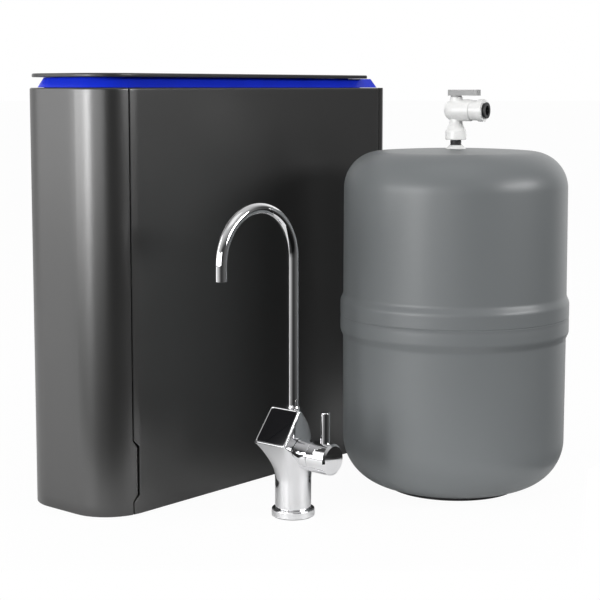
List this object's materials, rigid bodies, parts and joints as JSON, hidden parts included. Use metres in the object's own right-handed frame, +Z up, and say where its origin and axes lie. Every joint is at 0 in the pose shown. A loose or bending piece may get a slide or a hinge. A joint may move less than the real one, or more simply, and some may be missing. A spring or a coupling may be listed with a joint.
{
  "type": "reverse osmosis unit",
  "caption": "Under-sink reverse osmosis water unit: slim filter cabinet with blue collar and hinged lid, round pressure tank with ball valve, and chrome gooseneck faucet with display.",
  "frame": {"origin": "centre of the cabinet's footprint, on the floor", "axes": "+Z up; the cabinet's rounded front, the display and the spout face -Y; the tank and the faucet stand on the cabinet's +X side"},
  "size_m": [0.4064, 0.4479, 0.4212],
  "materials": {
    "graphite": "satin dark graphite moulding",
    "graphite_lid": "satin dark graphite moulding",
    "blue": "glossy blue moulding",
    "black_plastic": "matte black moulding",
    "white_plastic": "glossy white moulding",
    "grey_plastic": "matte grey moulding",
    "natural_plastic": "translucent white tube and moulding",
    "filter_media": "bonded filter medium",
    "rubber": "matte black rubber",
    "tank_paint": "satin blue-grey enamel on steel",
    "steel": "bright steel",
    "chrome": "polished chrome",
    "glass": "black glass",
    "circuit": "green solder mask",
    "ceramic": "ceramic and acetal"
  },
  "bodies": {
    "cabinet": {"base_tray": "black_plastic", "rubber_feet": "rubber", "side_panel_left": "graphite", "side_panel_right": "graphite", "rear_panel": "graphite", "top_collar": "blue", "hinge_pins": "steel", "deck_plate": "white_plastic", "front_bulkhead": "black_plastic", "manifold": "white_plastic", "shutoff_valve": "white_plastic", "flow_sensor": "black_plastic", "front_loop_tubes": "natural_plastic", "controller_case": "grey_plastic", "controller_cover": "grey_plastic", "controller_board": "circuit", "port_fittings": "white_plastic", "port_nuts": "white_plastic", "rear_tubes": "natural_plastic"},
    "front_cover": {"front_cover": "graphite"},
    "lid": {"lid": "graphite_lid"},
    "tank": {"tank_upper_shell": "tank_paint", "tank_lower_shell": "tank_paint", "tank_foot": "black_plastic", "tank_diaphragm": "rubber", "tank_flange": "white_plastic", "tank_nipple": "black_plastic", "air_valve": "steel", "valve_body": "white_plastic", "valve_seats": "natural_plastic"},
    "valve_handle": {"valve_handle": "grey_plastic", "valve_ball": "grey_plastic"},
    "valve_collet": {"valve_collet": "black_plastic"},
    "faucet": {"faucet_body": "chrome", "faucet_base_ring": "chrome", "faucet_gasket": "rubber", "display_glass": "glass", "display_board": "circuit", "faucet_cartridge": "ceramic", "spout_ferrule": "chrome"},
    "faucet_handle": {"faucet_handle": "chrome", "lever_pin": "chrome"},
    "spout": {"spout_tube": "chrome"},
    "sediment_cartridge": {"sediment_cartridge": "white_plastic", "sediment_element": "filter_media", "sediment_seals": "rubber"},
    "carbon_cartridge": {"carbon_cartridge": "white_plastic", "carbon_element": "filter_media", "carbon_seals": "rubber"},
    "membrane_cartridge": {"membrane_cartridge": "white_plastic", "membrane_element": "filter_media", "membrane_seals": "rubber"},
    "polishing_cartridge": {"polishing_cartridge": "white_plastic", "polishing_element": "filter_media", "polishing_seals": "rubber"},
    "feed_port_collet": {"feed_port_collet": "grey_plastic"},
    "drain_port_collet": {"drain_port_collet": "grey_plastic"},
    "tank_port_collet": {"tank_port_collet": "grey_plastic"},
    "faucet_port_collet": {"faucet_port_collet": "grey_plastic"}
  },
  "joints": [
    {"name": "front_cover_slide", "type": "slide", "parent": "cabinet", "child": "front_cover", "axis": [0, -1, 0], "range_m": [0, 0.08]},
    {"name": "lid_hinge", "type": "hinge", "parent": "cabinet", "child": "lid", "pos_m": [0, 0.188, 0.4146], "axis": [-1, 0, 0], "range_deg": [0, 95]},
    {"name": "sediment_cartridge_turn", "type": "hinge", "parent": "cabinet", "child": "sediment_cartridge", "pos_m": [0, -0.126, 0.04], "axis": [0, 0, 1], "range_deg": [0, 90]},
    {"name": "carbon_cartridge_turn", "type": "hinge", "parent": "cabinet", "child": "carbon_cartridge", "pos_m": [0, -0.041, 0.04], "axis": [0, 0, 1], "range_deg": [0, 90]},
    {"name": "membrane_cartridge_turn", "type": "hinge", "parent": "cabinet", "child": "membrane_cartridge", "pos_m": [0, 0.044, 0.04], "axis": [0, 0, 1], "range_deg": [0, 90]},
    {"name": "polishing_cartridge_turn", "type": "hinge", "parent": "cabinet", "child": "polishing_cartridge", "pos_m": [0, 0.129, 0.04], "axis": [0, 0, 1], "range_deg": [0, 90]},
    {"name": "feed_port_collet_slide", "type": "slide", "parent": "cabinet", "child": "feed_port_collet", "axis": [0, -1, 0], "range_m": [0, 0.0015]},
    {"name": "drain_port_collet_slide", "type": "slide", "parent": "cabinet", "child": "drain_port_collet", "axis": [0, -1, 0], "range_m": [0, 0.0015]},
    {"name": "tank_port_collet_slide", "type": "slide", "parent": "cabinet", "child": "tank_port_collet", "axis": [0, -1, 0], "range_m": [0, 0.0015]},
    {"name": "faucet_port_collet_slide", "type": "slide", "parent": "cabinet", "child": "faucet_port_collet", "axis": [0, -1, 0], "range_m": [0, 0.0015]},
    {"name": "tank_lift", "type": "slide", "parent": "cabinet", "child": "tank", "axis": [0, 0, 1], "range_m": [0, 0.1]},
    {"name": "valve_handle_turn", "type": "hinge", "parent": "tank", "child": "valve_handle", "pos_m": [0.2254, 0.1194, 0.395], "axis": [0, 0, 1], "range_deg": [0, 90]},
    {"name": "valve_collet_slide", "type": "slide", "parent": "tank", "child": "valve_collet", "axis": [-0.9806, -0.1959, 0], "range_m": [0, 0.0015]},
    {"name": "faucet_lift", "type": "slide", "parent": "cabinet", "child": "faucet", "axis": [0, 0, 1], "range_m": [0, 0.1]},
    {"name": "spout_swivel", "type": "hinge", "parent": "faucet", "child": "spout", "pos_m": [0.1754, -0.074, 0.09], "axis": [0, 0, 1], "range_deg": [-90, 90]},
    {"name": "faucet_handle_turn", "type": "hinge", "parent": "faucet", "child": "faucet_handle", "pos_m": [0.2054, -0.0735, 0.0615], "axis": [1, 0, 0], "range_deg": [0, 90]}
  ]
}
